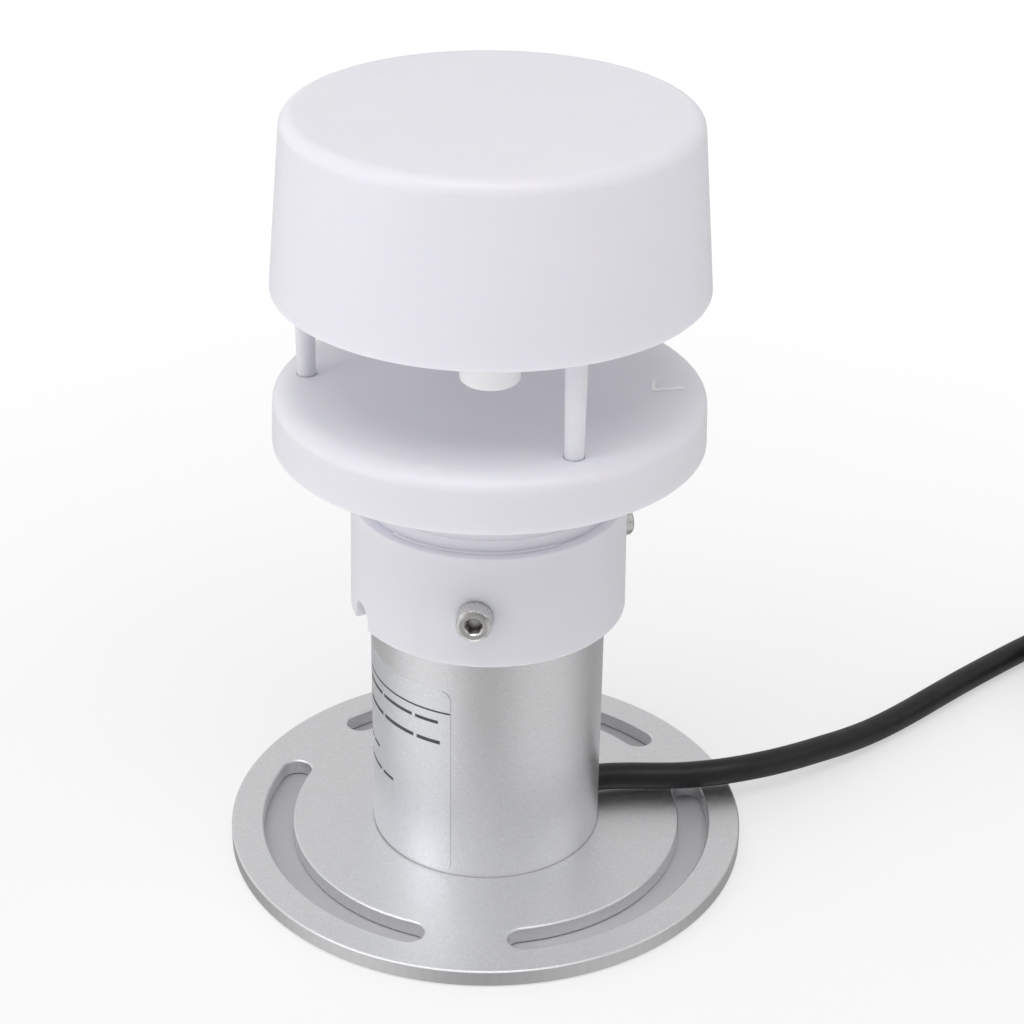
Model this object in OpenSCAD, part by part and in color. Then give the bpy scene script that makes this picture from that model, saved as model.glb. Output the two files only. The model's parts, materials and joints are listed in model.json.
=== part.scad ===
// Ultrasonic wind speed and direction sensor on a tube mount.
// A hollow cap carries four ultrasonic probes that face a flat disc across an open wind gap.
// The disc and its collar are clamped to an aluminium tube that stands on a slotted flange.
// Millimetres. +Z is up. The origin is the centre of the flange's underside.

/* [Flange] */
// Radius of the mounting flange
flange_r = 55; // [52:1:70]
// Thickness of the mounting flange
flange_t = 3.6; // [3.2:0.2:5]
// Radius of the circle that the arc slots follow
slot_circle_r = 45; // [44:0.5:48]
// Width of each arc slot
slot_w = 6.4; // [5:0.2:7]
// Angle between the end centres of each arc slot
slot_sweep = 90; // [40:1:95]
// Chamfer on the edges of the metal parts
edge_chamfer = 0.3; // [0.1:0.1:0.5]

/* [Tube] */
// Outer radius of the tube
tube_r = 24.2; // [23.5:0.1:24.2]
// Wall of the tube
tube_wall = 3; // [2.5:0.5:4]
// Height of the tube's top end
tube_top = 79.8; // [76:0.2:80]
// Height of the cable's centre at the tube's wall
exit_z = 7.1; // [7.1:0.1:8]
// Direction of the cable's notch in the tube's foot
exit_az = 18; // [10:1:20]

/* [Collar] */
// Height of the collar's lower end
collar_z = 57.4; // [50:0.1:60]
// Height of the collar's rim
collar_top = 81.4; // [81:0.1:83]
// Radius of the collar at its lower end
collar_r = 28.3; // [28:0.1:30]
// Radius of the collar at its rim
collar_top_r = 27.9; // [27.5:0.1:29]
// Radius of the neck above the collar's rim
neck_r = 25.4; // [25:0.1:26]
// Height of the clamp screws
clamp_z = 68.8; // [66:0.1:72]
// Direction of the first clamp screw
clamp_az = -95; // [-100:1:-90]

/* [Disc] */
// Height of the disc's underside
disc_z = 95; // [94:0.1:97]
// Height of the disc's upper face
disc_top = 106.2; // [105:0.1:107]
// Radius of the disc at its lower edge
disc_r = 43.2; // [43:0.1:46]
// Radius of the disc at its upper edge
disc_top_r = 42.9; // [42.5:0.1:46]
// Height of the disc's rounded upper edge
disc_round = 3; // [1:0.5:3]
// Width of the disc's rounded upper edge
disc_round_w = 4.5; // [1:0.5:6]

/* [Cap] */
// Height of the cap's lower edge
cap_z = 127.4; // [124:0.1:130]
// Height of the cap's top
cap_top = 161.8; // [158:0.1:166]
// Radius of the cap at its lower edge
cap_r = 42.7; // [42.5:0.1:45]
// Radius of the cap at its upper edge
cap_top_r = 40; // [39.5:0.1:42]
// Radius of the cap's rounded upper edge
cap_round = 2.8; // [1:0.2:4]
// Wall of the cap
cap_wall = 2.4; // [2:0.2:3]

/* [Posts and probes] */
// Radius of the circle that the posts stand on
post_circle_r = 36.5; // [36:0.5:37]
// Direction of the first post
post_az = -64.6; // [-68:0.2:-60]
// Radius of a post at the disc
post_low_r = 1.85; // [1.7:0.05:2]
// Radius of a post at the cap
post_high_r = 2.2; // [2:0.05:2.4]
// Radius of the circle that the probes lie on
probe_circle_r = 28.5; // [27:0.5:29]
// Radius of a probe
probe_r = 5.7; // [5:0.1:5.8]
// Height of a probe's lower face
probe_z = 119.6; // [116:0.1:124]

/* [Label] */
// Height of the label's lower edge
label_z = 4; // [4:0.5:12]
// Height of the label's upper edge
label_top = 48.2; // [30:0.1:52]
// Direction of the label's right edge
label_az = -107.5; // [-120:0.5:-90]
// Angle that the label wraps
label_sweep = 130; // [60:5:160]

/* [Cable] */
// Diameter of the cable
cable_d = 5.8; // [5.6:0.1:5.9]

/* [Hidden] */

fine = 128;
round_fn = 48;
over = 0.1;
tube_bore_r = tube_r - tube_wall;
running_gap = 0.05;
collar_bore_r = 24.25;
collar_edge = 0.2;
ledge_z = tube_top + 0.1;
neck_bore_r = 18.5;
neck_step_z = 84.2;
neck_step = 0.15;
third = 120;

// The cable's notch and grommet
grommet_r = 4.2;
grommet_flange_r = 5.6;
cable_r = cable_d / 2;
elbow_r = 18;

// The ring in the tube's foot and its screws
foot_h = 6;
foot_bore_r = 13;
foot_screw_circle_r = 17;

// Clamp screws: M4 with a cylindrical socket head
clamp_r = 1.95;
clamp_head_r = 3.5;
clamp_head_h = 4;
clamp_socket_r = 1.75;
clamp_socket_depth = 2.2;
clamp_socket_turn = 38;
clamp_seat_r = 28.22;
clamp_tip_r = 24.55;
insert_r = 2.9;
insert_inner_r = 24.6;
insert_outer_r = 27.8;

// The index notch in the collar's lower edge and the lip on its rim
notch_w = 6.4;
notch_h = 5.1;
lip_r = 26;
lip_h = 0.4;
lip_start = -136;
lip_sweep = 78;

// The disc's shell and the plate that closes it from below
disc_wall = 3;
disc_edge = 0.2;
disc_bore_r = 40;
base_r = 39.9;
base_h = 2.5;
base_top = disc_z + base_h;
base_hole_r = 12;
seal_r = 38.9;
neck_screw_circle_r = 21.7;
disc_screw_circle_r = 34.5;
boss_r = 3;
inner_az = post_az + 60;

// The direction mark near the disc's edge
mark_corner = [31.9, -3.7];
mark_r = 0.45;
mark_long = 6.1;
mark_long_az = 10;
mark_short = 4.5;
mark_short_az = 84;

// Circuit boards
board_r = 30;
board_t = 1.6;
board_z = base_top + 1.6;
board_top = board_z + board_t;
board_screw_circle_r = 26;
driver_z = 138;
driver_top = driver_z + board_t;
driver_screw_circle_r = 16;

// The cap's floor, which holds the posts and probes
floor_z = cap_z + 2;
floor_h = 2.5;
floor_top = floor_z + floor_h;
floor_r = 39.2;
cap_seal_r = 39.95;
cap_edge = 0.25;
ledge_r = 38;
ledge_h = 2;
cap_roof = 2.6;
cap_screw_circle_r = 34.5;
cap_screw_az = 45;
recess_r = post_low_r + 0.15;
recess_depth = 0.5;
spigot_r = 1.6;
post_bore_r = 1;
post_base_z = disc_top - recess_depth;

// Probes
probe_top = 136;
probe_wall = 1.1;
probe_face = 1.3;
probe_round = 1;
probe_flange_r = 6.9;
probe_flange_h = 1.2;
probe_seal_h = 0.6;
piezo_h = 2.2;

// Connector between the cable and the head, on the tube's axis
plug_z = 60;
plug_top = 71.9;
plug_r = 7;
socket_z = 72;
socket_top = 83;
board_socket_z = 92.5;

// Label film
label_t = 0.15;

// The cable's route, from the tube's bore to the coil
lead_route = [
    [19.69, 6.4, 7.1], [24.25, 7.88, 7.1], [28.2, 8.6, 7], [32.7, 8.9, 6.9], [37.5, 9, 6.85],
    [42.5, 9.1, 6.9], [47.2, 9.7, 6.95], [52.6, 10.7, 7.05], [58, 12.4, 7], [63.7, 15.05, 6.6],
    [69.5, 18.55, 5.95], [75.5, 22.8, 5.1], [81.5, 27.4, 4.1], [87.5, 32.3, 3.3], [93.5, 37.4, 2.95],
    [100, 43.1, 2.95], [107, 49.6, 2.95], [114, 56, 2.95], [122, 63, 2.95], [131, 70.6, 2.95],
    [142, 79, 3.2], [153.6, 87.1, 3.65]
];

// The coil of cable: its centre, and the heights of its lower and upper turns
coil_centre = [173.5, 56.5, 0];
coil_low_z = 3.65;
coil_high_z = 9.45;
coil_in_r = 27.7;
coil_out_r = 39.4;
coil_edge = 1.5;

// The cable's tail, from the coil's upper turn to the stripped end
tail_route = [
    [207.8, 44, 9.45], [205.2, 36.4, 9.4], [203.1, 29.8, 8.9], [201.5, 24.1, 7.9], [200.2, 18.2, 6.4],
    [199.3, 12.2, 4.9], [198.7, 5.2, 3.7], [198.4, -2.8, 3], [198.3, -11.8, 2.95],
    [198.3, -20.8, 2.95], [198.3, -30.8, 2.95]
];

// The tie around the coil
tie_az = 60;
tie_w = 3.5;
tie_t = 0.65;

// The stripped cores
core_r = 0.75;
tip_r = 0.5;
tip_l = 6;
core_start = [198.3, -30.8, 2.95];
core_offset = 1;
core_drop = 26;
core_fan = 3.2;

// ---------- shapes that repeat ----------

// A body turned from an outline of [radius, height] points
module turned(outline) {
    rotate_extrude($fn = fine) polygon(outline);
}

// A cylinder along a direction in the XY plane, between two distances from the Z axis
module radial_rod(az, z, r, from, to, sides = round_fn) {
    rotate([0, 0, az]) translate([from, 0, z]) rotate([0, 90, 0]) cylinder(r = r, h = to - from, $fn = sides);
}

// Places a child at a direction and distance from the Z axis
module at(az, dist, z) {
    rotate([0, 0, az]) translate([dist, 0, z]) children();
}

// Three copies around the Z axis
module three_at(az, dist, z) {
    for (i = [0 : 2]) {
        at(az + third * i, dist, z) children();
    }
}

// Points along an arc of a circle, or of an ellipse with a width and a height
function arc(centre, r, from, to, h = undef, steps = 10) =
    [for (i = [0 : steps]) let (a = from + (to - from) * i / steps)
        centre + [r * cos(a), (is_undef(h) ? r : h) * sin(a)]];

// A pan-head screw: the head's underside at z = 0, the shank downwards
module pan_screw(head_r, head_h, shank_r, shank_l) {
    difference() {
        union() {
            turned([[0, 0], [head_r, 0], [head_r, head_h * 0.55], [head_r * 0.7, head_h], [0, head_h]]);
            translate([0, 0, -shank_l]) cylinder(r = shank_r, h = shank_l + over, $fn = round_fn);
        }
        cross_recess(head_r, head_h);
    }
}

// The cross recess in a screw head
module cross_recess(head_r, head_h) {
    for (a = [0, 90]) {
        rotate([0, 0, a]) translate([-head_r * 0.5, -0.25, head_h * 0.4])
            cube([head_r, 0.5, head_h]);
    }
}

// A countersunk screw: its flat face at z = 0, facing down, the shank upwards
module flat_screw(head_r, head_h, shank_r, shank_l) {
    difference() {
        turned([[0, 0], [head_r, 0], [shank_r, head_h], [shank_r, shank_l], [0, shank_l]]);
        for (a = [0, 90]) {
            rotate([0, 0, a]) translate([-head_r * 0.5, -0.25, -over])
                cube([head_r, 0.5, head_h * 0.5 + over]);
        }
    }
}

// The hole that a countersunk screw fills
module flat_hole(head_r, head_h, shank_r, depth) {
    turned([
        [0, -over], [head_r + over, -over], [head_r, 0], [shank_r, head_h], [shank_r, depth], [0, depth]
    ]);
}

function unit(v) = v / norm(v);
function heading(path, i) = unit(path[min(i + 1, len(path) - 1)] - path[max(i - 1, 0)]);
function ring(path, i, r, n) =
    let (d = heading(path, i), s = unit(cross(d, [0, 0, 1])), u = cross(s, d))
    [for (k = [0 : n - 1]) path[i] + r * (cos(360 * k / n) * s + sin(360 * k / n) * u)];

// A tube of constant radius along a path
module sweep(path, r, n) {
    last = len(path) - 1;
    points = [for (i = [0 : last]) each ring(path, i, r, n)];
    sides = [
        for (i = [0 : last - 1], k = [0 : n - 1])
            let (a = i * n + k, b = i * n + (k + 1) % n)
            each [[a, a + n, b], [b, a + n, b + n]]
    ];
    first_end = [[for (k = [0 : n - 1]) k]];
    last_end = [[for (k = [n - 1 : -1 : 0]) last * n + k]];
    polyhedron(points = points, faces = concat(first_end, sides, last_end), convexity = 8);
}

// ---------- flange and tube ----------

// An arc slot with chamfered edges, centred on the X axis
module arc_slot() {
    r = slot_circle_r;
    h = slot_w / 2;
    w = h + edge_chamfer + over;
    low = edge_chamfer;
    high = flange_t - edge_chamfer;
    top = flange_t + over;
    rotate([0, 0, -slot_sweep / 2]) rotate_extrude(angle = slot_sweep, $fn = fine)
        polygon([
            [r - w, -over], [r + w, -over], [r + h, low], [r + h, high],
            [r + w, top], [r - w, top], [r - h, high], [r - h, low]
        ]);
    for (side = [-1, 1]) {
        at(side * slot_sweep / 2, r, 0)
            turned([[0, -over], [w, -over], [h, low], [h, high], [w, top], [0, top]]);
    }
}

module flange_plate() {
    color("silver") difference() {
        turned([
            [0, 0], [flange_r - edge_chamfer, 0], [flange_r, edge_chamfer],
            [flange_r, flange_t - edge_chamfer], [flange_r - edge_chamfer, flange_t], [0, flange_t]
        ]);
        for (i = [0 : 2]) {
            rotate([0, 0, clamp_az + 60 + third * i]) arc_slot();
        }
        three_at(clamp_az + 60, foot_screw_circle_r, 0) flat_hole(4, 2.3, 2, flange_t + over);
    }
}

module tube() {
    color("silver") difference() {
        turned([
            [tube_bore_r, flange_t], [tube_r, flange_t], [tube_r, tube_top - edge_chamfer],
            [tube_r - edge_chamfer, tube_top], [tube_bore_r, tube_top]
        ]);
        exit_notch(grommet_r, tube_bore_r - 3, tube_r + 3);
    }
}

// A round-topped notch along the cable's way out, open at the tube's foot
module exit_notch(r, from, to) {
    radial_rod(exit_az, exit_z, r, from, to);
    rotate([0, 0, exit_az]) translate([from, -r, flange_t - over])
        cube([to - from, 2 * r, exit_z - flange_t + over]);
}

module foot_ring() {
    color("silver") difference() {
        turned([
            [foot_bore_r, flange_t], [tube_bore_r, flange_t],
            [tube_bore_r, flange_t + foot_h], [foot_bore_r, flange_t + foot_h]
        ]);
        rotate([0, 0, exit_az]) translate([foot_bore_r - 3, -grommet_flange_r - 0.5, flange_t - over])
            cube([foot_bore_r, 2 * grommet_flange_r + 1, foot_h + 2 * over]);
        three_at(clamp_az + 60, foot_screw_circle_r, flange_t - over)
            cylinder(r = 2, h = foot_h + 2 * over, $fn = round_fn);
    }
}

module foot_screws() {
    color("gainsboro") three_at(clamp_az + 60, foot_screw_circle_r, 0) flat_screw(4, 2.3, 2, 9);
}

module cable_grommet() {
    color("dimgray") difference() {
        union() {
            intersection() {
                exit_notch(grommet_r, tube_bore_r - 1.5, tube_r + 3);
                translate([0, 0, flange_t]) cylinder(r = tube_r - over, h = 2 * exit_z, $fn = fine);
            }
            intersection() {
                exit_notch(grommet_flange_r, tube_bore_r - 2.2, tube_r);
                translate([0, 0, flange_t]) cylinder(r = tube_bore_r, h = 2 * exit_z, $fn = fine);
            }
        }
        radial_rod(exit_az, exit_z, cable_r, tube_bore_r - 5, tube_r + 5);
    }
}

// The cable inside the tube: in from the grommet, then up the axis to the plug
module inner_cable() {
    color("dimgray") rotate([0, 0, exit_az]) {
        radial_rod(0, exit_z, cable_r, elbow_r, norm([lead_route[0].x, lead_route[0].y]));
        translate([elbow_r, 0, exit_z + elbow_r]) rotate([90, 0, 0]) rotate([0, 0, 180])
            rotate_extrude(angle = 90, $fn = fine) translate([elbow_r, 0]) circle(r = cable_r, $fn = round_fn);
        translate([0, 0, exit_z + elbow_r])
            cylinder(r = cable_r, h = plug_z - exit_z - elbow_r, $fn = round_fn);
    }
}

module lead_plug() {
    color("dimgray") turned([
        [0, plug_z], [4, plug_z], [5.5, plug_z + 2], [5.5, plug_z + 4.5],
        [plug_r, plug_z + 4.5], [plug_r, plug_top], [0, plug_top]
    ]);
}

module label() {
    color("lightsteelblue") rotate([0, 0, label_az - label_sweep])
        rotate_extrude(angle = label_sweep, $fn = fine)
        translate([tube_r, label_z]) square([label_t, label_top - label_z]);
}

// ---------- cable ----------

module cable() {
    color("#303133") sweep(lead_route, cable_r, 12);
}

module cable_coil() {
    low = coil_low_z - cable_r;
    high = coil_high_z + cable_r;
    color("#303133") translate(coil_centre) turned([
        [coil_in_r + coil_edge, low], [coil_out_r - coil_edge, low],
        [coil_out_r, low + coil_edge], [coil_out_r, high - coil_edge],
        [coil_out_r - coil_edge, high], [coil_in_r + coil_edge, high],
        [coil_in_r, high - coil_edge], [coil_in_r, low + coil_edge]
    ]);
}

module cable_tail() {
    color("#303133") sweep(tail_route, cable_r, 12);
}

module coil_tie() {
    inner = [coil_out_r - coil_in_r + 0.2, tie_w + 1, coil_high_z + cable_r - coil_low_z + cable_r + 0.1];
    mid_r = (coil_in_r + coil_out_r) / 2;
    mid_z = (coil_high_z + coil_low_z) / 2;
    color("#202020") translate(coil_centre) at(tie_az, mid_r, mid_z) difference() {
        cube([inner.x + 2 * tie_t, tie_w, inner.z + 2 * tie_t], center = true);
        cube(inner, center = true);
    }
}

// One stripped core: it fans out and drops from the sheath's end to the ground
function core_route(side, level) = [
    for (t = [0 : 0.125 : 1]) let (s = t * t * (3 - 2 * t))
        core_start + [side * (core_offset + (core_fan * abs(side) - core_offset) * s),
            -core_drop * t, level * core_offset * (1 - s) + (core_r + 0.05 - core_start.z) * s]
];

module core(side, level) {
    sweep(core_route(side, level), core_r, 8);
}

CORE_PLACES = [[-1, 1], [1, 1], [-2, -1], [2, -1]];

module core_brown() {
    color("saddlebrown") core(-1, 1);
}

module core_black() {
    color("black") core(1, 1);
}

module core_yellow() {
    color("gold") core(-2, -1);
}

module core_blue() {
    color("royalblue") core(2, -1);
}

module core_tips() {
    color("silver") for (place = CORE_PLACES) {
        path = core_route(place[0], place[1]);
        translate(path[len(path) - 1]) rotate([90, 0, 0]) cylinder(r = tip_r, h = tip_l, $fn = round_fn);
    }
}

// ---------- collar ----------

module collar() {
    color("whitesmoke") difference() {
        union() {
            turned([
                [collar_bore_r, collar_z + collar_edge], [collar_bore_r + collar_edge, collar_z],
                [collar_r - collar_edge, collar_z], [collar_r, collar_z + collar_edge],
                [collar_top_r, collar_top - collar_edge], [collar_top_r - collar_edge, collar_top],
                [neck_r, collar_top], [neck_r, neck_step_z],
                [neck_r - neck_step, neck_step_z], [neck_r - neck_step, disc_z],
                [neck_bore_r, disc_z], [neck_bore_r, ledge_z], [collar_bore_r, ledge_z]
            ]);
            rotate([0, 0, lip_start]) rotate_extrude(angle = lip_sweep, $fn = fine)
                translate([neck_r - over, collar_top - over]) square([lip_r - neck_r + over, lip_h + over]);
        }
        for (i = [0 : 2]) {
            radial_rod(clamp_az + third * i, clamp_z, insert_r, tube_r - 1, collar_r + 1);
        }
        index_notch();
        three_at(inner_az, neck_screw_circle_r, disc_z - 9) cylinder(r = 1.5, h = 10, $fn = round_fn);
    }
}

// A slot with a round end, cut up into the collar's lower edge
module index_notch() {
    az = clamp_az - 60;
    r = notch_w / 2;
    radial_rod(az, collar_z + notch_h - r, r, tube_r - 1, collar_r + 1);
    rotate([0, 0, az]) translate([tube_r - 1, -r, collar_z - over])
        cube([collar_r - tube_r + 2, notch_w, notch_h - r + over]);
}

module screw_inserts() {
    color("goldenrod") for (i = [0 : 2]) {
        difference() {
            radial_rod(clamp_az + third * i, clamp_z, insert_r, insert_inner_r, insert_outer_r);
            radial_rod(clamp_az + third * i, clamp_z, clamp_r + running_gap, tube_r - 1, collar_r + 1);
        }
    }
}

// A socket-head screw at one of the three clamp positions
module clamp_screw(i) {
    color("gainsboro") at(clamp_az + third * i, clamp_seat_r, clamp_z) rotate([0, 90, 0]) difference() {
        union() {
            turned([
                [0, 0], [clamp_head_r, 0], [clamp_head_r, clamp_head_h - 0.55],
                [clamp_head_r - 0.15, clamp_head_h - 0.3], [clamp_head_r - 0.75, clamp_head_h],
                [0, clamp_head_h]
            ]);
            translate([0, 0, clamp_tip_r - clamp_seat_r])
                cylinder(r = clamp_r, h = clamp_seat_r - clamp_tip_r + over, $fn = round_fn);
        }
        translate([0, 0, clamp_head_h - clamp_socket_depth]) rotate([0, 0, clamp_socket_turn])
            cylinder(r = clamp_socket_r, h = clamp_socket_depth + over, $fn = 6);
        translate([0, 0, clamp_head_h]) turned([[0, -0.35], [1.6, -0.35], [2.05, over], [0, over]]);
    }
}

module clamp_screw_front() {
    clamp_screw(0);
}

module clamp_screw_right() {
    clamp_screw(1);
}

module clamp_screw_rear() {
    clamp_screw(2);
}

// ---------- disc ----------

module disc_base() {
    color("whitesmoke") difference() {
        turned([
            [base_hole_r, disc_z], [base_r, disc_z], [base_r, disc_z + 0.7], [seal_r, disc_z + 0.7],
            [seal_r, disc_z + 1.8], [base_r, disc_z + 1.8], [base_r, base_top], [base_hole_r, base_top]
        ]);
        three_at(inner_az, neck_screw_circle_r, base_top) mirror([0, 0, 1])
            flat_hole(2.9, 1.5, 1.5, base_h + over);
        three_at(inner_az, disc_screw_circle_r, disc_z) flat_hole(2.9, 1.5, 1.5, base_h + over);
        three_at(post_az, board_screw_circle_r, base_top - 1.6) cylinder(r = 1.2, h = 2, $fn = round_fn);
    }
}

module neck_screws() {
    color("gainsboro") three_at(inner_az, neck_screw_circle_r, base_top) mirror([0, 0, 1])
        flat_screw(2.9, 1.5, 1.5, 10);
}

module disc_seal() {
    color("dimgray") turned([
        [seal_r, disc_z + 0.7], [disc_bore_r, disc_z + 0.7],
        [disc_bore_r, disc_z + 1.8], [seal_r, disc_z + 1.8]
    ]);
}

module disc_screws() {
    color("gainsboro") three_at(inner_az, disc_screw_circle_r, disc_z) flat_screw(2.9, 1.5, 1.5, 7);
}

module reflector_disc() {
    round_z = disc_top - disc_round;
    roof_z = disc_top - disc_wall;
    color("whitesmoke") difference() {
        union() {
            turned(concat(
                [[disc_bore_r, disc_z], [disc_r - disc_edge, disc_z], [disc_r, disc_z + disc_edge]],
                arc([disc_top_r - disc_round_w, round_z], disc_round_w, 0, 90, disc_round),
                [[0, disc_top], [0, roof_z], [disc_bore_r, roof_z]]
            ));
            three_at(inner_az, disc_screw_circle_r, base_top)
                cylinder(r = boss_r, h = roof_z - base_top + over, $fn = round_fn);
            direction_mark();
        }
        three_at(inner_az, disc_screw_circle_r, base_top - over)
            cylinder(r = 1.5, h = 5, $fn = round_fn);
        three_at(post_az, post_circle_r, post_base_z) cylinder(r = recess_r, h = 1, $fn = round_fn);
        three_at(post_az, post_circle_r, roof_z - over)
            cylinder(r = post_bore_r, h = disc_wall, $fn = round_fn);
    }
}

// The raised corner mark that shows the reference direction: two strokes with round ends
module direction_mark() {
    translate([mark_corner.x, mark_corner.y, disc_top]) {
        mark_stroke(mark_long_az, mark_long);
        mark_stroke(mark_short_az, mark_short);
    }
}

module mark_stroke(az, l) {
    rotate([0, 0, az]) {
        rotate([0, 90, 0]) cylinder(r = mark_r, h = l, $fn = round_fn);
        for (x = [0, l]) {
            translate([x, 0, 0]) sphere(r = mark_r, $fn = round_fn);
        }
    }
}

module main_board() {
    color("darkgreen") difference() {
        translate([0, 0, board_z]) cylinder(r = board_r, h = board_t, $fn = fine);
        three_at(post_az, board_screw_circle_r, board_z - over)
            cylinder(r = 1.2, h = board_t + 2 * over, $fn = round_fn);
    }
}

module board_spacers() {
    color("gainsboro") three_at(post_az, board_screw_circle_r, base_top) difference() {
        cylinder(r = 2.4, h = board_z - base_top, $fn = round_fn);
        translate([0, 0, -over]) cylinder(r = 1.2, h = board_z - base_top + 2 * over, $fn = round_fn);
    }
}

module board_screws() {
    color("gainsboro") three_at(post_az, board_screw_circle_r, board_top) pan_screw(2.2, 1.3, 1.2, 4.6);
}

module board_chips() {
    color("#222222") {
        translate([-5, -4, board_top]) cube([10, 8, 1.2]);
        translate([-18, 3, board_top]) cube([6, 5, 1]);
        translate([10, -16, board_top]) cube([5, 8, 1.4]);
        translate([-4, 14, board_top]) cube([7, 4, 1.1]);
    }
}

module board_socket() {
    color("ivory") translate([-4.5, -3, board_socket_z]) cube([9, 6, board_z - board_socket_z]);
}

module head_lead() {
    color("dimgray") translate([0, 0, socket_top])
        cylinder(r = 2.4, h = board_socket_z - socket_top, $fn = round_fn);
}

module lead_socket() {
    color("dimgray") turned([
        [0, socket_z], [7.5, socket_z], [7.5, socket_top - 4],
        [5, socket_top - 4], [4, socket_top], [0, socket_top]
    ]);
}

// ---------- posts ----------

// A tapered post with a spigot at its upper end and a bore from below
module post(i, bore_depth) {
    height = floor_z - post_base_z;
    color("whitesmoke") at(post_az + third * i, post_circle_r, post_base_z) difference() {
        turned([
            [0, 0], [post_low_r - 0.2, 0], [post_low_r, 0.2], [post_high_r, height],
            [spigot_r, height], [spigot_r, height + floor_h], [0, height + floor_h]
        ]);
        translate([0, 0, -over]) cylinder(r = post_bore_r, h = bore_depth + over, $fn = round_fn);
    }
}

module post_front() {
    post(0, 8);
}

module post_rear() {
    post(1, 40);
}

module post_left() {
    post(2, 8);
}

module post_screws() {
    color("gainsboro") for (i = [0, 2]) {
        at(post_az + third * i, post_circle_r, disc_top - disc_wall) mirror([0, 0, 1])
            pan_screw(2, 1.5, post_bore_r, 9);
    }
}

// The twisted leads that run up the rear post from the main board to the probe board
module post_lead() {
    r = 0.9;
    low = board_z + board_t / 2;
    high = driver_z + board_t / 2;
    az = post_az + third;
    color("firebrick") {
        at(az, post_circle_r, low) cylinder(r = r, h = high - low, $fn = round_fn);
        for (z = [low, high]) {
            at(az, post_circle_r, z) sphere(r = r, $fn = round_fn);
            radial_rod(az, z, r, board_r, post_circle_r);
        }
    }
}

// ---------- cap and probes ----------

module cap_floor() {
    color("whitesmoke") difference() {
        translate([0, 0, floor_z]) cylinder(r = floor_r, h = floor_h, $fn = fine);
        for (i = [0 : 3]) {
            at(90 * i, probe_circle_r, floor_z - over)
                cylinder(r = probe_r, h = floor_h + 2 * over, $fn = round_fn);
        }
        three_at(post_az, post_circle_r, floor_z - over)
            cylinder(r = spigot_r, h = floor_h + 2 * over, $fn = round_fn);
        three_at(cap_screw_az, cap_screw_circle_r, floor_z) flat_hole(2.9, 1.5, 1.5, floor_h + over);
        three_at(cap_screw_az, driver_screw_circle_r, floor_top - 2) cylinder(r = 1.2, h = 3, $fn = round_fn);
    }
}

module cap_seal() {
    color("lightgray") turned([
        [floor_r, floor_z + 0.5], [cap_seal_r, floor_z + 0.5],
        [cap_seal_r, floor_z + 2], [floor_r, floor_z + 2]
    ]);
}

module cap_screws() {
    color("gainsboro") three_at(cap_screw_az, cap_screw_circle_r, floor_z) flat_screw(2.9, 1.5, 1.5, 12);
}

// Radius of the cap's tapered outer wall at a height
function cap_r_at(z) = cap_r - (cap_r - cap_top_r) * (z - cap_z) / (cap_top - cap_round - cap_z);

module top_cap() {
    roof_z = cap_top - cap_roof;
    ledge_top = floor_top + ledge_h;
    color("whitesmoke") difference() {
        union() {
            turned(concat(
                [[cap_r_at(cap_z) - cap_wall, cap_z], [cap_r - cap_edge, cap_z], [cap_r, cap_z + cap_edge]],
                arc([cap_top_r - cap_round, cap_top - cap_round], cap_round, 0, 90),
                [
                    [0, cap_top], [0, roof_z], [cap_r_at(roof_z) - cap_wall - 1.5, roof_z],
                    [cap_r_at(roof_z) - cap_wall, roof_z - 1.5], [cap_r_at(ledge_top) - cap_wall, ledge_top],
                    [ledge_r, ledge_top], [ledge_r, floor_top], [cap_r_at(floor_top) - cap_wall, floor_top]
                ]
            ));
            three_at(cap_screw_az, cap_screw_circle_r, floor_top)
                cylinder(r = boss_r - 0.1, h = roof_z - floor_top + over, $fn = round_fn);
        }
        three_at(cap_screw_az, cap_screw_circle_r, floor_top - over)
            cylinder(r = 1.5, h = 12, $fn = round_fn);
    }
}

// A probe: a cup with its closed face down and a flange that hangs on the cap's floor
module probe(i) {
    flange_z = floor_top + probe_seal_h;
    flange_top = flange_z + probe_flange_h;
    bore_r = probe_r - probe_wall;
    color("white") at(90 * i - 90, probe_circle_r, 0) turned(concat(
        [[0, probe_z]],
        arc([probe_r - probe_round, probe_z + probe_round], probe_round, -90, 0),
        [
            [probe_r, flange_z], [probe_flange_r, flange_z], [probe_flange_r, flange_top],
            [probe_r, flange_top], [probe_r, probe_top], [bore_r, probe_top],
            [bore_r, probe_z + probe_face], [0, probe_z + probe_face]
        ]
    ));
}

module probe_front() {
    probe(0);
}

module probe_right() {
    probe(1);
}

module probe_rear() {
    probe(2);
}

module probe_left() {
    probe(3);
}

module probe_seals() {
    color("dimgray") for (i = [0 : 3]) {
        at(90 * i, probe_circle_r, 0) turned([
            [probe_r, floor_top], [probe_flange_r, floor_top],
            [probe_flange_r, floor_top + probe_seal_h], [probe_r, floor_top + probe_seal_h]
        ]);
    }
}

module piezo_discs() {
    color("goldenrod") for (i = [0 : 3]) {
        at(90 * i, probe_circle_r, probe_z + probe_face) cylinder(r = 4.4, h = piezo_h, $fn = round_fn);
    }
}

module probe_leads() {
    low = probe_z + probe_face + piezo_h;
    color("firebrick") for (i = [0 : 3], side = [-1.5, 1.5]) {
        rotate([0, 0, 90 * i]) translate([probe_circle_r, side, low])
            cylinder(r = 0.45, h = driver_z - low, $fn = round_fn);
    }
}

module driver_board() {
    color("darkgreen") difference() {
        translate([0, 0, driver_z]) cylinder(r = board_r, h = board_t, $fn = fine);
        three_at(cap_screw_az, driver_screw_circle_r, driver_z - over)
            cylinder(r = 1.2, h = board_t + 2 * over, $fn = round_fn);
    }
}

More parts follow.
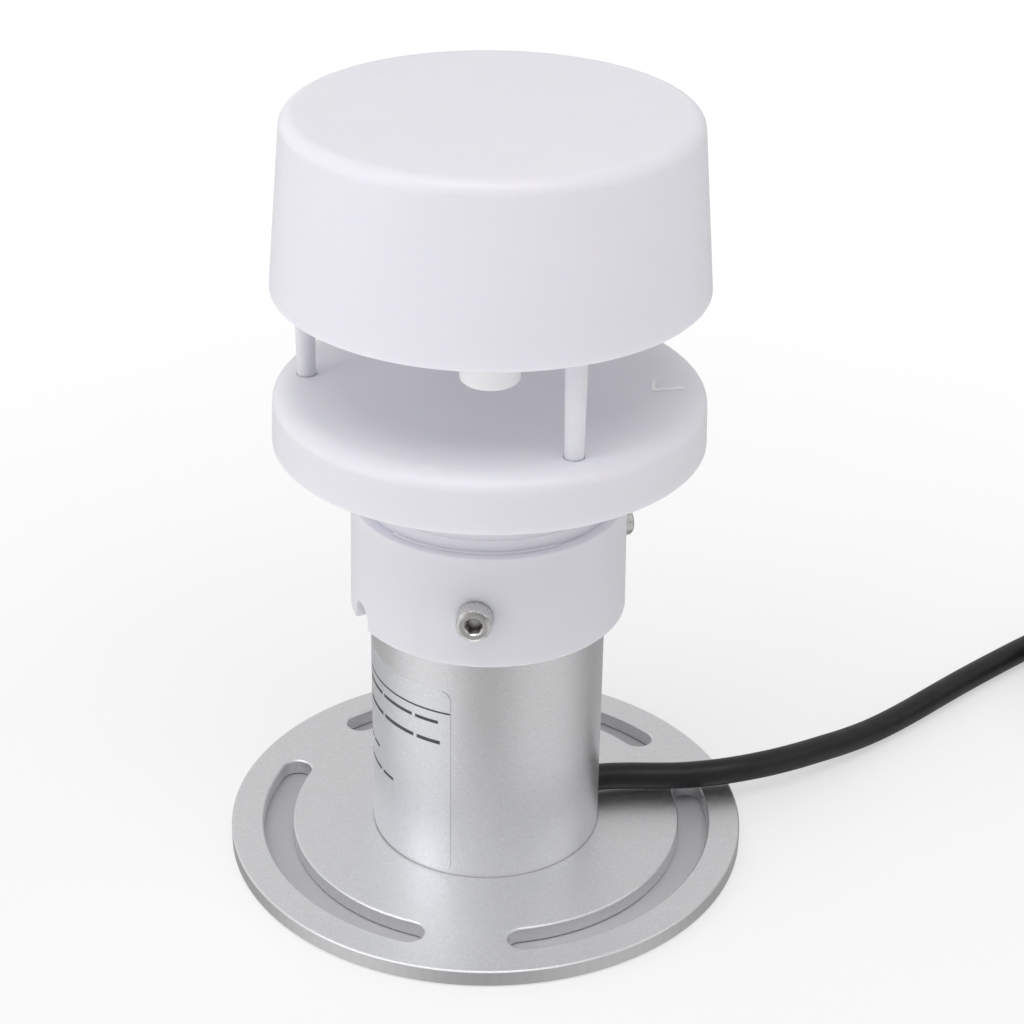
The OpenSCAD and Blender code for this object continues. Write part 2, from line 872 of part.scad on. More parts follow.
module driver_spacers() {
    color("goldenrod") three_at(cap_screw_az, driver_screw_circle_r, floor_top) difference() {
        cylinder(r = 2.5, h = driver_z - floor_top, $fn = 6);
        translate([0, 0, -over]) cylinder(r = 1.2, h = driver_z - floor_top + 2 * over, $fn = round_fn);
    }
}

module driver_screws() {
    color("gainsboro") three_at(cap_screw_az, driver_screw_circle_r, driver_top) pan_screw(2.3, 1.5, 1.2, 9);
}

module driver_chips() {
    color("#222222") {
        translate([-6, -6, driver_top]) cube([12, 12, 1.4]);
        translate([-4, 17, driver_top]) cube([8, 5, 1.2]);
        translate([-23, -2.5, driver_top]) cube([5, 5, 1.2]);
        translate([13, -10, driver_top]) cube([6, 4, 1.2]);
    }
}

module transformers() {
    color("silver") for (i = [0 : 3]) {
        at(90 * i + 22, 24, driver_top) cylinder(r = 3.2, h = 7, $fn = round_fn);
    }
}

flange_plate();
tube();
foot_ring();
foot_screws();
cable_grommet();
inner_cable();
lead_plug();
label();
cable();
cable_coil();
cable_tail();
coil_tie();
core_brown();
core_black();
core_yellow();
core_blue();
core_tips();
collar();
screw_inserts();
clamp_screw_front();
clamp_screw_right();
clamp_screw_rear();
neck_screws();
disc_base();
disc_seal();
disc_screws();
reflector_disc();
main_board();
board_chips();
board_spacers();
board_screws();
board_socket();
head_lead();
lead_socket();
post_front();
post_rear();
post_left();
post_screws();
post_lead();
cap_floor();
cap_seal();
cap_screws();
top_cap();
probe_front();
probe_right();
probe_rear();
probe_left();
probe_seals();
piezo_discs();
probe_leads();
driver_board();
driver_spacers();
driver_screws();
driver_chips();
transformers();
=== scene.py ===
"""Looks for the ultrasonic wind sensor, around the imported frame."""

import json
import math

import bmesh
import bpy
from mathutils import Matrix, Vector


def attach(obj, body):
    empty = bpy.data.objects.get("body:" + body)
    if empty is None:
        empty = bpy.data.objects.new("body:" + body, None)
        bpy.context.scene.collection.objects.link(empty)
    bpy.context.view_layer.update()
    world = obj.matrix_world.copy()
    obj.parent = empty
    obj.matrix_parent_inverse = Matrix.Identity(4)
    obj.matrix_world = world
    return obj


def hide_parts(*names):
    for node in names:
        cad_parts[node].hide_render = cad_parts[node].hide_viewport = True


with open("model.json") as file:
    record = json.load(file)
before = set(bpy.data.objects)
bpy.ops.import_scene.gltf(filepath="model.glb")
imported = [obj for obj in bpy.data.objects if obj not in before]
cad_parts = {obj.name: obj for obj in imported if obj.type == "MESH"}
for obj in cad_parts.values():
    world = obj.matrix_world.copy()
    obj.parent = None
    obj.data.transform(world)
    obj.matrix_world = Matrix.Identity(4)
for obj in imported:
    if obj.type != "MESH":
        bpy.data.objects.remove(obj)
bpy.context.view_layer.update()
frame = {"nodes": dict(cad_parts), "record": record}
scene = bpy.context.scene

# Sizes are in millimetres where mm() or MM turns them into metres, and otherwise in metres
MM = 0.001
FLANGE_R = 55.0
TUBE_R = 24.2
DISC_TOP = 106.2


def mm(*values):
    return tuple(v * MM for v in values)


# ---------- camera ----------

# The sensor and the lens are in the camera's own millimetres
SENSOR_WIDTH = 36.0
LENS = 82.075078
CAMERA_BACK = 418.90
CAMERA_HEIGHT = 298.76
# How far the camera is turned to the right, down and clockwise, in radians
YAW, PITCH, ROLL = 0.0112, 0.4867, -0.0147


def make_camera():
    """The camera, in front of the object and above it."""
    sy, cy = math.sin(YAW), math.cos(YAW)
    sp, cp = math.sin(PITCH), math.cos(PITCH)
    sr, cr = math.sin(ROLL), math.cos(ROLL)
    forward = Vector((sy * cp, cy * cp, -sp))
    right = Vector((cy, -sy, 0))
    up = Vector((sy * sp, cy * sp, cp))
    x_axis = cr * right - sr * up
    y_axis = sr * right + cr * up
    data = bpy.data.cameras.new("camera")
    data.sensor_width = SENSOR_WIDTH
    data.lens = LENS
    data.clip_start = 0.01
    data.clip_end = 50
    camera = bpy.data.objects.new("camera", data)
    turn = Matrix((x_axis, y_axis, -forward)).transposed().to_4x4()
    camera.matrix_world = Matrix.Translation(mm(0, -CAMERA_BACK, CAMERA_HEIGHT)) @ turn
    scene.collection.objects.link(camera)
    scene.camera = camera


make_camera()

# ---------- helpers for materials ----------


class Nodes:
    """A material's node tree, with short calls for what the finishes use."""

    def __init__(self, name):
        self.material = bpy.data.materials.new(name)
        self.material.use_nodes = True
        self.tree = self.material.node_tree
        self.shader = self.tree.nodes["Principled BSDF"]
        self.place = self.add("ShaderNodeTexCoord").outputs["Object"]

    def add(self, kind, **settings):
        node = self.tree.nodes.new(kind)
        for key, value in settings.items():
            if key in node.inputs:
                node.inputs[key].default_value = value
            else:
                setattr(node, key, value)
        return node

    def link(self, source, target):
        self.tree.links.new(source, target)

    def set(self, **values):
        for key, value in values.items():
            self.shader.inputs[key.replace("_", " ")].default_value = value

    def stretched(self, scale):
        mapping = self.add("ShaderNodeMapping")
        mapping.inputs["Scale"].default_value = scale
        self.link(self.place, mapping.inputs["Vector"])
        return mapping.outputs["Vector"]

    def noise(self, scale, detail=3, rough=0.6):
        node = self.add("ShaderNodeTexNoise", Scale=scale, Detail=detail, Roughness=rough)
        self.link(self.place, node.inputs["Vector"])
        return node.outputs["Fac"]

    def spread(self, fac, low, high, from_low=0.3, from_high=0.7):
        """From low to high as fac goes from from_low to from_high, which is about what a noise covers."""
        node = self.add("ShaderNodeMapRange")
        node.inputs["From Min"].default_value = from_low
        node.inputs["From Max"].default_value = from_high
        node.inputs["To Min"].default_value = low
        node.inputs["To Max"].default_value = high
        self.link(fac, node.inputs["Value"])
        return node.outputs["Result"]

    def mix(self, fac, a, b):
        """From a to b as fac goes from 0 to 1. Each is a colour or another node's output."""
        node = self.add("ShaderNodeMix", data_type="RGBA")
        for value, socket in zip((a, b), [s for s in node.inputs if s.type == "RGBA"]):
            if isinstance(value, tuple):
                socket.default_value = (*value, 1)
            else:
                self.link(value, socket)
        self.link(fac, node.inputs["Factor"])
        return [s for s in node.outputs if s.type == "RGBA"][0]

    def from_axis(self):
        """The distance from the tube's axis."""
        node = self.add("ShaderNodeVectorMath", operation="LENGTH")
        self.link(self.stretched((1, 1, 0)), node.inputs[0])
        return node.outputs["Value"]

    def above(self, axis, level):
        """1 where the place is past the level along an axis (X, Y or Z), 0 before it."""
        fade = 0.00002
        node = self.add("ShaderNodeSeparateXYZ")
        self.link(self.place, node.inputs[0])
        return self.spread(node.outputs[axis], 0, 1, level - fade, level + fade)

    def bump(self, height, strength, distance, below=None):
        node = self.add("ShaderNodeBump", Strength=strength, Distance=distance)
        self.link(height, node.inputs["Height"])
        if below is not None:
            self.link(below, node.inputs["Normal"])
        return node.outputs["Normal"]

    def rounded(self, radius):
        return self.add("ShaderNodeBevel", samples=6, Radius=radius).outputs["Normal"]

    def colour(self, output):
        self.link(output, self.shader.inputs["Base Color"])

    def roughness(self, output):
        self.link(output, self.shader.inputs["Roughness"])

    def normal(self, output):
        self.link(output, self.shader.inputs["Normal"])


def shade(colour, factor):
    return tuple(min(c * factor, 1) for c in colour)


def plastic(name, colour, rough, edge=0.00015, depth=0.0, mark=None):
    """Moulded plastic: a fine mould texture, faint tone clouds and soft edges.

    depth is how far light goes in, and 0 for none. mark is a level and a side (Z and X), past which the top
    of a raised mark is painted white as a painted highlight.
    """
    n = Nodes(name)
    n.set(IOR=1.5)
    if depth:
        n.set(Subsurface_Weight=1.0, Subsurface_Scale=depth, Subsurface_Radius=(1.0, 0.9, 0.8))
    tone = n.mix(n.noise(45, 3), shade(colour, 0.985), shade(colour, 1.015))
    # Painted highlight: the raised mark's top is painted white
    if mark:
        on_mark_highlight = n.add("ShaderNodeMath", operation="MULTIPLY")
        for source, target in zip((n.above("Z", mark[0]), n.above("X", mark[1])), on_mark_highlight.inputs):
            n.link(source, target)
        tone = n.mix(on_mark_highlight.outputs[0], tone, (1.0, 1.0, 1.0))
    n.colour(tone)
    n.roughness(n.spread(n.noise(260, 4), rough - 0.02, rough + 0.03))
    n.normal(n.bump(n.noise(2600, 2), 0.25, 0.000012, n.rounded(edge)))
    return n.material


def blasted(name, colour, rough, height=0.00002, seam_shade=0.0, rim_shade=0.0):
    """Bead-blasted and anodised aluminium: a fine sparkle in tone, roughness and relief.

    seam is the radius of a joint on its face, where a fine dark line is painted as painted shade in the
    crease. rim is the radius of its outer wall, which is painted darker than its face as painted shade.
    """
    n = Nodes(name)
    n.set(Metallic=1.0)
    fine = n.noise(2900, 3, 0.75)
    tone = n.mix(n.spread(fine, 0, 1), shade(colour, 0.9), shade(colour, 1.1))
    # Painted shade: a fine dark line in the crease where the tube stands on the face
    if seam_shade:
        tone = n.mix(n.spread(n.from_axis(), 0, 1, seam_shade, seam_shade + 0.0004), shade(colour, 0.55), tone)
    # Painted shade: the outer wall is painted darker than the face
    if rim_shade:
        tone = n.mix(n.spread(n.from_axis(), 0, 1, rim_shade - 0.0001, rim_shade), tone, shade(colour, 0.8))
    n.colour(tone)
    n.roughness(n.spread(n.noise(900, 3), rough - 0.05, rough + 0.05))
    n.normal(n.bump(fine, 0.5, height, n.rounded(0.0002)))
    return n.material


def turned_metal(name, colour, rough, edge=0.00012, socket=None):
    """Turned and lightly tumbled metal for screws, inserts and spacers.

    socket is the colour of the painted shade laid into a socket's corners and other hollows by occlusion.
    """
    n = Nodes(name)
    n.set(Metallic=1.0)
    wear = n.noise(700, 3, 0.6)
    tone = n.mix(n.spread(wear, 0, 1), shade(colour, 0.9), shade(colour, 1.06))
    if socket:
        # Painted shade: the more a place is occluded, the closer its colour goes to the socket colour
        hollow = n.add("ShaderNodeAmbientOcclusion", samples=8, Distance=0.002).outputs["AO"]
        tone = n.mix(n.spread(hollow, 0, 1), socket, tone)
    n.colour(tone)
    n.roughness(n.spread(n.noise(500, 3), rough - 0.05, rough + 0.06))
    n.normal(n.bump(n.noise(1600, 3), 0.2, 0.000008, n.rounded(edge)))
    return n.material


def rubber(name, colour):
    """Smooth moulded rubber with a little bloom."""
    n = Nodes(name)
    n.colour(n.mix(n.spread(n.noise(500, 4), 0, 1), shade(colour, 0.85), shade(colour, 1.2)))
    n.roughness(n.spread(n.noise(900, 3), 0.52, 0.68))
    n.normal(n.bump(n.noise(2200, 2), 0.3, 0.00002))
    return n.material


def sheath(name, colour, rough=0.36):
    """Extruded cable sheath: a slight gloss with faint clouds and handling marks."""
    n = Nodes(name)
    n.set(Specular_IOR_Level=0.32)
    n.colour(n.mix(n.spread(n.noise(300, 4), 0, 1), shade(colour, 0.8), shade(colour, 1.3)))
    n.roughness(n.spread(n.noise(160, 4, 0.65), rough - 0.07, rough + 0.1))
    n.normal(n.bump(n.noise(1200, 3), 0.25, 0.00003))
    return n.material


def board(name, colour):
    """Circuit board: solder mask over faint tracks, in a fine brick pattern."""
    n = Nodes(name)
    n.set(Coat_Weight=0.4, Coat_Roughness=0.2)
    tracks = n.add("ShaderNodeTexBrick", Scale=300, offset=0.5)
    tracks.inputs["Mortar Size"].default_value = 0.08
    n.link(n.place, tracks.inputs["Vector"])
    n.colour(n.mix(tracks.outputs["Fac"], shade(colour, 0.85), shade(colour, 1.5)))
    n.roughness(n.spread(n.noise(500, 3), 0.35, 0.5))
    n.normal(n.bump(tracks.outputs["Fac"], 0.3, 0.00003))
    return n.material


TUBE_FOOT, FLANGE_RIM = mm(TUBE_R, FLANGE_R)
# Just above the disc's top, and left of its corner mark: past these the mark's top gets a painted highlight
MARK_HIGHLIGHT_PLACE = mm(DISC_TOP + 0.12, 31.2)
# The colour of the painted shade in the screws' sockets and hollows
SCREW_HOLLOW_SHADE = (0.03, 0.022, 0.018)
finishes = {
    # The flange's finish has painted shade at the tube's foot and on its outer wall
    "flange_metal": blasted("flange_finish", (0.855, 0.858, 0.87), 0.4, seam_shade=TUBE_FOOT, rim_shade=FLANGE_RIM),
    "tube_metal": blasted("tube_finish", (0.85, 0.853, 0.865), 0.4),
    "label_film": blasted("label_finish", (0.875, 0.892, 0.93), 0.46, height=0.000005),
    "cable_black": sheath("cable_finish", (0.017, 0.0175, 0.0185), 0.4),
    "seal_rubber": rubber("seal_finish", (0.03, 0.03, 0.03)),
    "seal_light": rubber("light_seal_finish", (0.5, 0.5, 0.5)),
    "tie_black": plastic("tie_finish", (0.02, 0.02, 0.021), 0.45, 0.0001),
    "core_brown": sheath("brown_core_finish", (0.13, 0.05, 0.02)),
    "core_black": sheath("black_core_finish", (0.02, 0.02, 0.02)),
    "core_yellow": sheath("yellow_core_finish", (0.75, 0.52, 0.03)),
    "core_blue": sheath("blue_core_finish", (0.03, 0.12, 0.5)),
    "tinned": turned_metal("tinned_finish", (0.75, 0.75, 0.74), 0.35, 0.00005),
    "body_white": plastic("body_finish", (0.825, 0.82, 0.87), 0.35, depth=0.0012, mark=MARK_HIGHLIGHT_PLACE),
    "cap_white": plastic("cap_finish", (0.845, 0.837, 0.895), 0.35, depth=0.0012),
    "probe_white": plastic("probe_finish", (0.97, 0.97, 0.975), 0.42, 0.0002),
    "screw_steel": turned_metal("screw_finish", (0.7, 0.69, 0.675), 0.25, 0.0002, SCREW_HOLLOW_SHADE),
    "brass": turned_metal("brass_finish", (0.75, 0.56, 0.25), 0.3),
    "board_green": board("board_finish", (0.02, 0.15, 0.07)),
    "chip_black": plastic("chip_finish", (0.02, 0.02, 0.02), 0.55, 0.0001),
    "connector_black": plastic("connector_finish", (0.03, 0.03, 0.03), 0.45, 0.0002),
    "socket_cream": plastic("socket_finish", (0.8, 0.76, 0.65), 0.5, 0.0001),
    "lead_red": sheath("lead_finish", (0.5, 0.04, 0.03)),
    "can_silver": turned_metal("can_finish", (0.6, 0.6, 0.6), 0.35),
}

for part in frame["record"]["subparts"]:
    node = frame["nodes"][part["node"]]
    finish = finishes[part["material_slot"]]
    if not node.data.materials:
        node.data.materials.append(finish)
    for index in range(len(node.material_slots)):
        node.material_slots[index].material = finish

# ---------- helpers for pieces ----------

# Edges sharper than this stay sharp
CREASE = 35


def mesh_piece(name, body, slot, build):
    """A mesh object built by build(bm), riding on a body and taking a slot's finish."""
    bm = bmesh.new()
    build(bm)
    bmesh.ops.recalc_face_normals(bm, faces=bm.faces)
    mesh = bpy.data.meshes.new(name)
    bm.to_mesh(mesh)
    bm.free()
    mesh.shade_smooth()
    mesh.set_sharp_from_angle(angle=math.radians(CREASE))
    piece = bpy.data.objects.new(name, mesh)
    scene.collection.objects.link(piece)
    mesh.materials.append(finishes[slot])
    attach(piece, body)
    return piece


def through(points, steps):
    """A smooth line through the points (Catmull-Rom), with steps pieces in each span."""
    pts = [Vector(p) for p in points]
    ext = [2 * pts[0] - pts[1]] + pts + [2 * pts[-1] - pts[-2]]
    line = []
    for i in range(len(pts) - 1):
        a, b, c, d = ext[i : i + 4]
        for k in range(steps):
            t = k / steps
            slope = (c - a) * t
            bend = (2 * a - 5 * b + 4 * c - d) * t * t
            twist = (3 * b - a - 3 * c + d) * t**3
            line.append(0.5 * (2 * b + slope + bend + twist))
    line.append(pts[-1])
    return line


def tube_piece(name, body, slot, line, radius, sides=8):
    """A round tube along a line, as one open spline."""
    data = bpy.data.curves.new(name, "CURVE")
    data.dimensions = "3D"
    data.bevel_depth = radius
    data.bevel_resolution = sides
    data.use_fill_caps = True
    spline = data.splines.new("POLY")
    spline.points.add(len(line) - 1)
    for point, place in zip(spline.points, line):
        point.co = (*place, 1)
    spline.use_smooth = True
    data.materials.append(finishes[slot])
    piece = bpy.data.objects.new(name, data)
    scene.collection.objects.link(piece)
    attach(piece, body)
    return piece


def ease(t):
    """0 up to t = 0, then smoothly to 1 at t = 1 and after it."""
    t = min(max(t, 0), 1)
    return t * t * (3 - 2 * t)


# ---------- the cable ----------

CABLE_D = 5.8
CABLE_R = CABLE_D / 2
# In metres
# From the notch in the tube's wall, over the flange and along the floor to the coil
LEAD = [
    (19.69, 6.4, 7.1), (24.25, 7.88, 7.1), (28.2, 8.6, 7), (32.7, 8.9, 6.9), (37.5, 9, 6.85),
    (42.5, 9.1, 6.9), (47.2, 9.7, 6.95), (52.6, 10.7, 7.05), (58, 12.4, 7), (63.7, 15.05, 6.6),
    (69.5, 18.55, 5.95), (75.5, 22.8, 5.1), (81.5, 27.4, 4.1), (87.5, 32.3, 3.3), (93.5, 37.4, 2.95),
    (100, 43.1, 2.95), (107, 49.6, 2.95), (114, 56, 2.95), (122, 63, 2.95), (131, 70.6, 2.95),
    (142, 79, 3.2), (153.6, 87.1, 3.65),
]
# From the top of the coil down to the floor and to the sheath's end
TAIL = [
    (207.8, 44, 9.45), (205.2, 36.4, 9.4), (203.1, 29.8, 8.9), (201.5, 24.1, 7.9), (200.2, 18.2, 6.4),
    (199.3, 12.2, 4.9), (198.7, 5.2, 3.7), (198.4, -2.8, 3), (198.3, -11.8, 2.95),
    (198.3, -20.8, 2.95), (198.3, -30.8, 2.95),
]
COIL_CENTRE = (173.5, 56.5)
COIL_START, COIL_TURNED = 123, 1223
COIL_OUTER, COIL_INNER = 36.5, 30.6
COIL_LOW, COIL_HIGH = 3.65, 9.45
COIL_SAG = 0.35
# After how many degrees the line goes inward, up and outward again, and how many it takes for that
INWARD_AT, UP_AT, OUTWARD_AT = 300, 600, 900
CROSSING = 60
COIL_STEP = 10
TIE_AZ = 60


def coil_point(turned):
    """The coil's line after a number of degrees: outer low, inner low, inner high, outer high."""
    inward = ease((turned - INWARD_AT) / CROSSING) - ease((turned - OUTWARD_AT) / CROSSING)
    climb = ease((turned - UP_AT) / CROSSING)
    az = math.radians(COIL_START - turned)
    r = COIL_OUTER + (COIL_INNER - COIL_OUTER) * inward
    sag = COIL_SAG * (1 - math.cos(az - math.radians(TIE_AZ)))
    sag *= ease(turned / 40) * ease((COIL_TURNED - turned) / 60)
    return (
        COIL_CENTRE[0] + r * math.cos(az),
        COIL_CENTRE[1] + r * math.sin(az),
        COIL_LOW + (COIL_HIGH - COIL_LOW) * climb - sag,
    )


coil = [coil_point(t) for t in range(COIL_STEP, COIL_TURNED - 4, COIL_STEP)]
cable_line = through([mm(*p) for p in LEAD + coil + TAIL], 4)
cable = tube_piece("signal_cable", "base", "cable_black", cable_line, CABLE_R * MM)
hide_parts("cable", "cable_coil", "cable_tail")

# The stripped cores, and for each the side that it fans out to and the level that it starts at
CORE_R = 0.75
CORE_LENGTH = 26
CORE_FAN = 3.2
CORE_STEPS = 24
CORES = {"core_brown": (-1, 1), "core_black": (1, 1), "core_yellow": (-2, -1), "core_blue": (2, -1)}


def core_line(side, level):
    """A core from the sheath's end down to the floor, out to its side."""
    x, y, z = TAIL[-1]
    line = []
    for i in range(CORE_STEPS + 1):
        t = i / CORE_STEPS
        s = ease(t)
        line.append(
            mm(
                x + side * (1 + (CORE_FAN * abs(side) - 1) * s),
                y - CORE_LENGTH * t,
                z + level * (1 - s) + (CORE_R + 0.05 - z) * s,
            )
        )
    return [Vector(p) for p in line]


for name, (side, level) in CORES.items():
    core = tube_piece(name + "_wire", "base", name, core_line(side, level), CORE_R * MM, 4)
    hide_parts(name)


TIE_CORNER, TIE_WIDTH, TIE_THICK = 2.2, 3.0, 0.55
TIE_HEAD = (3.6, 3.4, 0.62)


def band(bm, half_x, half_z, corner, width, thick):
    """A closed band around a bundle: a rounded rectangle in XZ, width along Y."""
    steps = 6
    loop = []
    for sx, sz, start in [(1, 1, 0), (-1, 1, 90), (-1, -1, 180), (1, -1, 270)]:
        for k in range(steps + 1):
            a = math.radians(start + 90 * k / steps)
            loop.append((sx * (half_x - corner), sz * (half_z - corner), math.cos(a), math.sin(a)))
    rings = []
    section = [(0, -1), (0, 1), (1, 1), (1, -1)]
    for cx, cz, nx, nz in loop:
        ring = []
        for out, side in section:
            r = corner + out * thick
            ring.append(bm.verts.new((cx + nx * r, side * width / 2, cz + nz * r)))
        rings.append(ring)
    for i, ring in enumerate(rings):
        nxt = rings[(i + 1) % len(rings)]
        for k in range(4):
            bm.faces.new((ring[k], ring[(k + 1) % 4], nxt[(k + 1) % 4], nxt[k]))


def block(bm, size, centre, bevel):
    """A box with its edges rounded by bevel."""
    place = Matrix.Translation(centre) @ Matrix.Diagonal((*size, 1))
    made = bmesh.ops.create_cube(bm, size=1, matrix=place)
    edges = {e for v in made["verts"] for e in v.link_edges}
    bmesh.ops.bevel(bm, geom=list(edges), offset=bevel, segments=2, affect="EDGES", profile=0.5)


def build_tie(bm):
    """A band round the four strands of the coil, and the tie's head on top."""
    half_x = (COIL_OUTER - COIL_INNER) / 2 + CABLE_R
    half_z = (COIL_HIGH - COIL_LOW) / 2 + CABLE_R
    band(bm, half_x, half_z, TIE_CORNER, TIE_WIDTH, TIE_THICK)
    block(bm, TIE_HEAD, (1.0, 0, half_z + 0.32), 0.12)
    az = math.radians(TIE_AZ)
    middle = (COIL_OUTER + COIL_INNER) / 2
    x = COIL_CENTRE[0] + middle * math.cos(az)
    y = COIL_CENTRE[1] + middle * math.sin(az)
    place = Matrix.Translation(mm(x, y, (COIL_LOW + COIL_HIGH) / 2))
    turn = Matrix.Rotation(az, 4, "Z")
    bmesh.ops.transform(bm, verts=bm.verts, matrix=place @ turn @ Matrix.Scale(MM, 4))


tie = mesh_piece("cable_tie", "base", "tie_black", build_tie)
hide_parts("coil_tie")

# ---------- the label ----------

LABEL_LOW, LABEL_HIGH = 4.0, 48.2
LABEL_RIGHT = -107.5
LABEL_LEFT = LABEL_RIGHT - 130
LABEL_T = 0.12
LABEL_CORNER = 2.2
LABEL_R = TUBE_R + LABEL_T


def on_tube(az, z, r):
    a = math.radians(az)
    return mm(r * math.cos(a), r * math.sin(a), z)


def film(bm, left, right, low, high, r, corner=0.0, thick=0.0):
    """A film on the tube between two directions (degrees) and heights, with rounded corners."""
    degree_mm = TUBE_R * math.pi / 180
    columns = [left + (right - left) * i / 90 for i in range(91)]
    if corner:
        extra = [corner * (1 - math.cos(math.radians(a))) / degree_mm for a in range(0, 91, 10)]
        columns = sorted(set(columns + [left + e for e in extra] + [right - e for e in extra]))
    strips = []
    for az in columns:
        depth = max(corner - min(az - left, right - az) * degree_mm, 0)
        cut = corner - math.sqrt(max(corner**2 - depth**2, 0)) if corner else 0
        bottom, top = low + cut, high - cut
        strips.append([bm.verts.new(on_tube(az, z, r)) for z in (bottom, top)])
        if thick:
            strips[-1] += [bm.verts.new(on_tube(az, z, r - thick)) for z in (top, bottom)]
    rows = len(strips[0])
    pairs = [(k, (k + 1) % rows) for k in range(rows if rows > 2 else 1)]
    for a, b in zip(strips, strips[1:]):
        for i, j in pairs:
            bm.faces.new((a[i], b[i], b[j], a[j]))
    if rows > 2:
        bm.faces.new(strips[0])
        bm.faces.new(reversed(strips[-1]))


def build_label(bm):
    film(bm, LABEL_LEFT, LABEL_RIGHT, LABEL_LOW, LABEL_HIGH, LABEL_R, LABEL_CORNER, LABEL_T - 0.01)


label = mesh_piece("label_sheet", "base", "label_film", build_label)
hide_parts("label")

# Generic bars in place of the rows of print: each row's middle height, its bars' height and its right end
ROWS = [(40.6, 0.75, -114), (35.8, 0.85, -113), (26.4, 0.7, -157), (21.5, 0.7, -143)]
BAR_SHARES = (0.28, 0.22, 0.18, 0.2, 0.12)
BAR_GAP = 2
ROW_MARGIN = 8
RULE_LOW, RULE_HIGH = 42.9, 43.3


def build_print(bm):
    """A rule across the label and the rows of bars below it."""
    r = LABEL_R + 0.015
    film(bm, LABEL_LEFT + 1, LABEL_RIGHT - 0.3, RULE_LOW, RULE_HIGH, r)
    for z, height, right in ROWS:
        left = LABEL_LEFT + ROW_MARGIN
        bars = right - left - (len(BAR_SHARES) - 1) * BAR_GAP
        for share in BAR_SHARES:
            width = bars * share
            film(bm, left, left + width, z - height / 2, z + height / 2, r)
            left += width + BAR_GAP


ink = Nodes("ink_finish")
ink.colour(ink.mix(ink.noise(600, 3), (0.05, 0.05, 0.055), (0.09, 0.09, 0.095)))
ink.set(Roughness=0.5)
label_print = mesh_piece("label_print", "base", "label_film", build_print)
label_print.data.materials[0] = ink.material

# ---------- floor and light ----------

# The floor's own glow near the axis and far from it, how far out it changes over, and half the floor's side
NEAR_GLOW, FAR_GLOW = 0.5, 0.68
GLOW_FROM, GLOW_TO = 0.12, 0.5
FLOOR_HALF = 6


def stage_plane(name, finish, build, height):
    """A flat piece of the floor, which isn't part of the object."""
    bm = bmesh.new()
    build(bm)
    mesh = bpy.data.meshes.new(name)
    bm.to_mesh(mesh)
    bm.free()
    mesh.materials.append(finish)
    piece = bpy.data.objects.new(name, mesh)
    piece.location.z = height
    scene.collection.objects.link(piece)
    return piece


def make_floor():
    """A pale floor lit from below like a studio table, and a greyer round of it under the flange, painted as
    the flange's shadow.
    """
    n = Nodes("floor_finish")
    n.colour(n.mix(n.noise(8, 3), (0.48, 0.48, 0.483), (0.5, 0.5, 0.5)))
    n.roughness(n.spread(n.noise(40, 3), 0.5, 0.6))
    n.set(Specular_IOR_Level=0.2, Emission_Color=(1, 1, 1, 1))
    glow = n.spread(n.from_axis(), NEAR_GLOW, FAR_GLOW, GLOW_FROM, GLOW_TO)
    n.link(glow, n.shader.inputs["Emission Strength"])

    def square(bm):
        bmesh.ops.create_grid(bm, size=FLOOR_HALF)

    floor = stage_plane("floor", n.material, square, -0.0002)
    floor.visible_glossy = False
    # Painted shadow: a grey round under the flange, which doesn't glow, stands for the flange's shade on the
    # floor
    n = Nodes("painted_flange_shadow_finish")
    n.colour(n.mix(n.noise(60, 3), (0.52, 0.52, 0.535), (0.56, 0.56, 0.575)))
    n.roughness(n.spread(n.noise(40, 3), 0.5, 0.6))
    n.set(Specular_IOR_Level=0.2)

    def disc(bm):
        bmesh.ops.create_circle(bm, cap_ends=True, segments=96, radius=(FLANGE_R - 2) * MM)

    stage_plane("floor_under", n.material, disc, -0.0001)


def direction(az, elevation):
    az, elevation = math.radians(az), math.radians(elevation)
    flat = math.cos(elevation)
    return Vector((math.cos(az) * flat, math.sin(az) * flat, math.sin(elevation)))


def soft_box(name, az, elevation, distance, size, glow):
    """A rectangular soft box that faces the object. glow is the radiance of its front."""
    data = bpy.data.lights.new(name, "AREA")
    data.shape = "RECTANGLE"
    data.size, data.size_y = size
    data.energy = glow * math.pi * size[0] * size[1]
    out = direction(az, elevation)
    light = bpy.data.objects.new(name, data)
    light.location = Vector((0, 0, MIDDLE)) + out * distance
    light.rotation_euler = (-out).to_track_quat("-Z", "Y").to_euler()
    scene.collection.objects.link(light)


# The height that the soft boxes face, and the directions of the two at the sides
MIDDLE = 0.08
LEFT_AZ, RIGHT_AZ = -151, -32
make_floor()
soft_box("left_box", LEFT_AZ, 20, 1.3, (0.6, 0.9), 1.34)
soft_box("right_box", RIGHT_AZ, 21, 1.3, (0.4, 0.9), 0.6)
soft_box("edge_box", -5, 34, 1.3, (0.5, 0.6), 0.9)
soft_box("top_box", -95, 70, 1.4, (1.5, 0.8), 2.38)


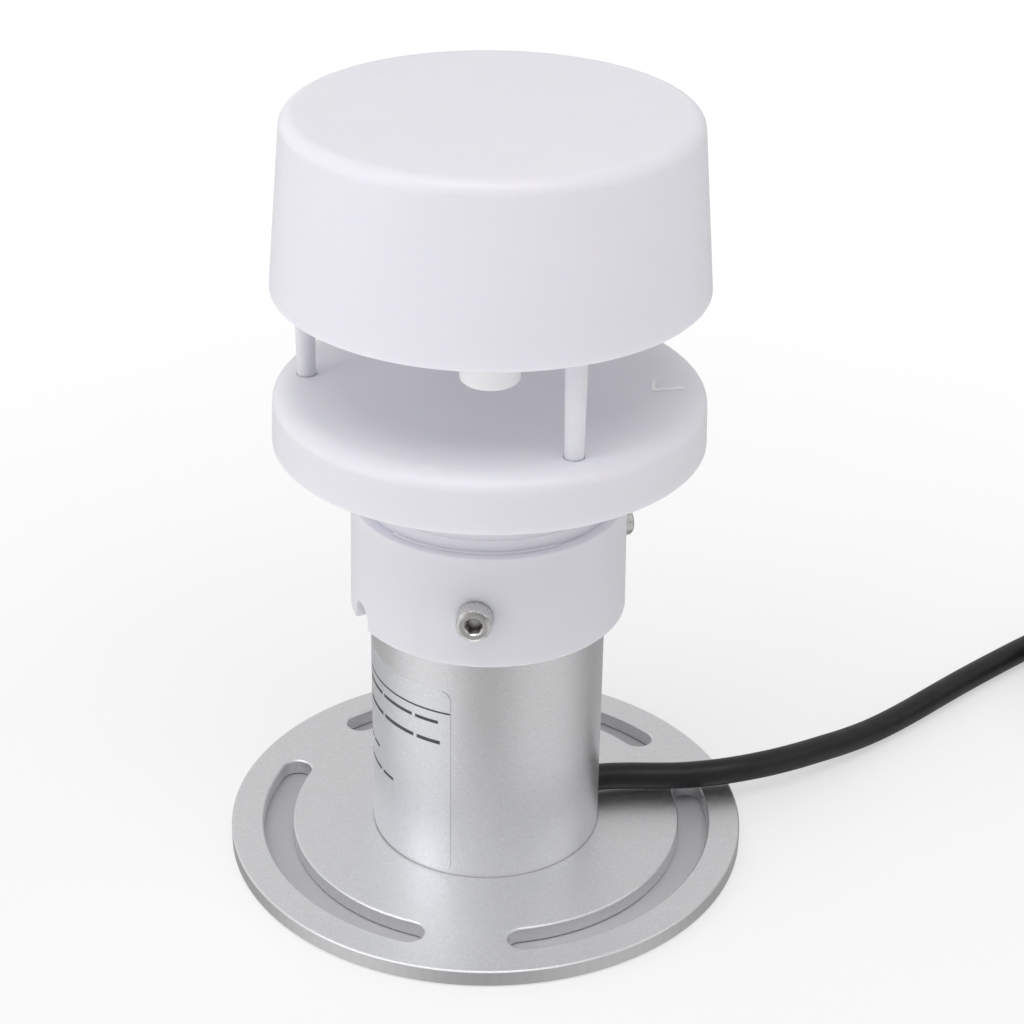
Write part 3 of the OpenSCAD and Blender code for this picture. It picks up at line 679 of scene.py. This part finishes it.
def make_world(low, horizon, zenith, sides, ends, glows):
    """A dim room, by direction: low below the horizon, then horizon rising to zenith.

    Above the horizon it is multiplied by sides, from right to left, and by ends, from front to back.
    glows are brighter places, each as azimuth, elevation, the cosine of its reach, and its radiance.
    """
    world = bpy.data.worlds.new("studio")
    world.use_nodes = True
    tree = world.node_tree

    def add(kind, **settings):
        node = tree.nodes.new(kind)
        for key, value in settings.items():
            setattr(node, key, value)
        return node

    def combine(operation, *sources):
        node = add("ShaderNodeMath", operation=operation)
        for source, target in zip(sources, node.inputs):
            tree.links.new(source, target)
        return node.outputs[0]

    def ramp(source, *values):
        node = add("ShaderNodeMapRange", interpolation_type="SMOOTHSTEP")
        for key, value in zip(("From Min", "From Max", "To Min", "To Max"), values):
            node.inputs[key].default_value = value
        tree.links.new(source, node.inputs["Value"])
        return node.outputs["Result"]

    def towards(az, elevation):
        node = add("ShaderNodeVectorMath", operation="DOT_PRODUCT")
        node.inputs[1].default_value = direction(az, elevation)
        tree.links.new(place.outputs["Generated"], node.inputs[0])
        return node.outputs["Value"]

    place = add("ShaderNodeTexCoord")
    up = towards(0, 90)
    edge = (-0.12, 0.05)
    sky = combine("ADD", ramp(up, *edge, 0, horizon), ramp(up, 0.2, 0.8, 0, zenith - horizon))
    sky = combine("MULTIPLY", sky, ramp(towards(180, 0), -1, 1, *sides))
    sky = combine("MULTIPLY", sky, ramp(towards(90, 0), -1, 1, *ends))
    sky = combine("ADD", sky, ramp(up, *edge, low, 0))
    for az, elevation, reach, glow in glows:
        sky = combine("ADD", sky, ramp(towards(az, elevation), reach, 1, 0, glow))
    background = tree.nodes["Background"]
    background.inputs["Color"].default_value = (1, 1, 1, 1)
    tree.links.new(sky, background.inputs["Strength"])
    scene.world = world


# The glows: the two soft boxes' light on the floor, and a pale wall at the back right
make_world(
    low=0.42,
    horizon=0.54,
    zenith=0.50,
    sides=(0.58, 1.42),
    ends=(0.65, 1.18),
    glows=[(LEFT_AZ, -28, 0.7, 0.43), (RIGHT_AZ, -28, 0.7, 0.26), (48, 34, 0.8, 0.2)],
)
scene.view_settings.view_transform = "Standard"
